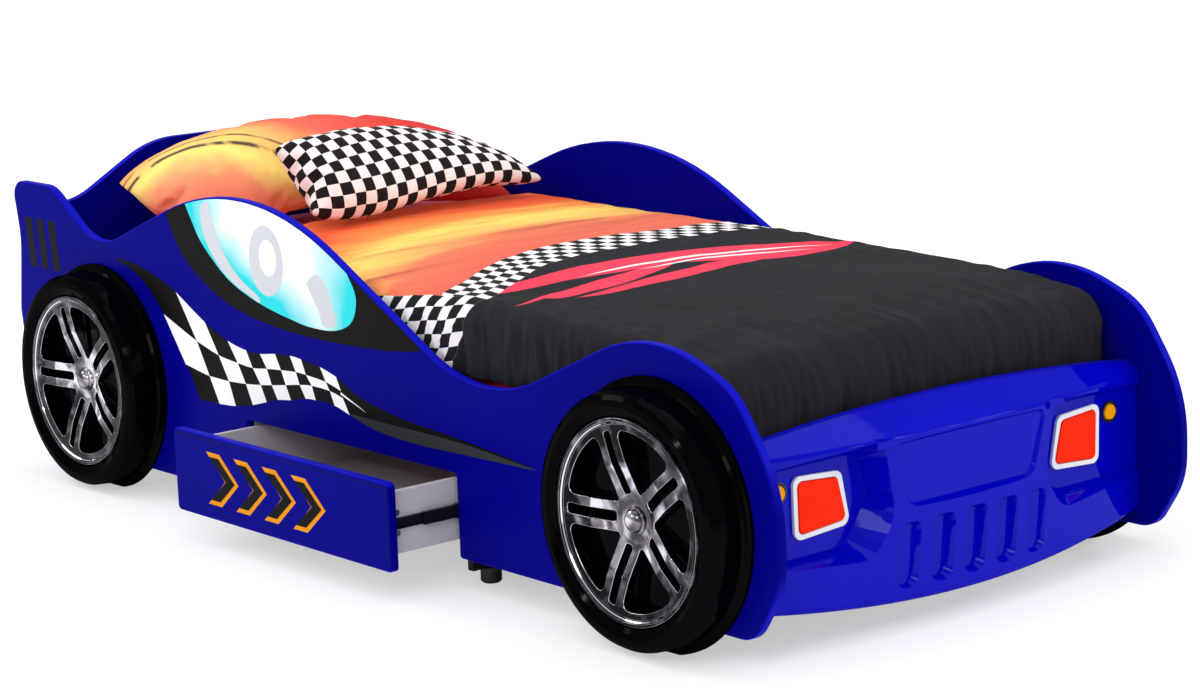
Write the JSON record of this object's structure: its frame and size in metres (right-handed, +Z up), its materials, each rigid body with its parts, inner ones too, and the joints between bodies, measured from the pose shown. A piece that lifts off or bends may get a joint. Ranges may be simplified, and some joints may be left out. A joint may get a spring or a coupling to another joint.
{
  "type": "children's car bed",
  "caption": "Children's bed shaped as a racing car, with profiled side panels, dummy wheels, moulded front, side drawer and bedding.",
  "frame": {"origin": "on the floor, at the foot under the middle of the bed base", "axes": "+X to the car's front (foot end), +Z up, -Y the side with the drawer"},
  "size_m": [2.4173, 1.276, 0.7129],
  "materials": {
    "blue_board": "smooth lacquered board",
    "blue_moulding": "glossy",
    "white_trim": "glossy",
    "red_orange_lens": "glossy",
    "black_trim": "satin",
    "amber_lens": "glossy",
    "black_moulding": "glossy",
    "bright_rim": "polished",
    "slat_wood": "planed pine",
    "white_board": "melamine",
    "foot_plastic": "matte",
    "glide_felt": "felt",
    "zinc_steel": "zinc plated",
    "cam_metal": "die cast",
    "runner_steel": "black",
    "mattress_fabric": "woven",
    "duvet_fabric": "printed cotton",
    "pillow_fabric": "printed cotton",
    "chequered_fabric": "printed cotton, chequered"
  },
  "bodies": {
    "bed": {"side_panel_right": "blue_board", "side_panel_left": "blue_board", "headboard": "blue_board", "foot_board": "blue_board", "front_bumper": "blue_moulding", "headlight_frame_right": "white_trim", "headlight_frame_left": "white_trim", "headlight_lens_right": "red_orange_lens", "headlight_lens_left": "red_orange_lens", "marker_ring_right": "black_trim", "marker_ring_left": "black_trim", "marker_lens_right": "amber_lens", "marker_lens_left": "amber_lens", "tyre_rear_right": "black_moulding", "rim_rear_right": "bright_rim", "hub_cap_rear_right": "bright_rim", "tyre_rear_left": "black_moulding", "rim_rear_left": "bright_rim", "hub_cap_rear_left": "bright_rim", "tyre_front_right": "black_moulding", "rim_front_right": "bright_rim", "hub_cap_front_right": "bright_rim", "tyre_front_left": "black_moulding", "rim_front_left": "bright_rim", "hub_cap_front_left": "bright_rim", "slat_rail_right": "slat_wood", "slat_rail_left": "slat_wood", "bed_slats": "slat_wood", "bay_partition_rear": "white_board", "bay_partition_front": "white_board", "bay_back_board": "white_board", "base_feet": "foot_plastic", "floor_glides": "glide_felt", "corner_brackets": "zinc_steel", "runner_cabinet_rear": "runner_steel", "runner_cabinet_front": "runner_steel", "mattress": "mattress_fabric", "duvet": "duvet_fabric", "pillow": "pillow_fabric", "cushion": "chequered_fabric"},
    "middle_runner_rear": {"runner_middle_rear": "runner_steel"},
    "middle_runner_front": {"runner_middle_front": "runner_steel"},
    "drawer": {"drawer_front": "blue_board", "drawer_side_rear": "white_board", "drawer_side_front": "white_board", "drawer_back": "white_board", "drawer_bottom": "white_board", "drawer_cams": "cam_metal", "runner_drawer_rear": "runner_steel", "runner_drawer_front": "runner_steel"}
  },
  "joints": [
    {"name": "drawer_slide", "type": "slide", "parent": "bed", "child": "drawer", "axis": [0, -1, 0], "range_m": [-0.148, 0.302]},
    {"name": "runner_slide_rear", "type": "slide", "parent": "bed", "child": "middle_runner_rear", "axis": [0, -1, 0], "range_m": [-0.074, 0.151]},
    {"name": "runner_slide_front", "type": "slide", "parent": "bed", "child": "middle_runner_front", "axis": [0, -1, 0], "range_m": [-0.074, 0.151]}
  ],
  "couplings": [
    {"joint": "runner_slide_rear", "follows": "drawer_slide", "ratio": 0.5},
    {"joint": "runner_slide_front", "follows": "drawer_slide", "ratio": 0.5}
  ]
}
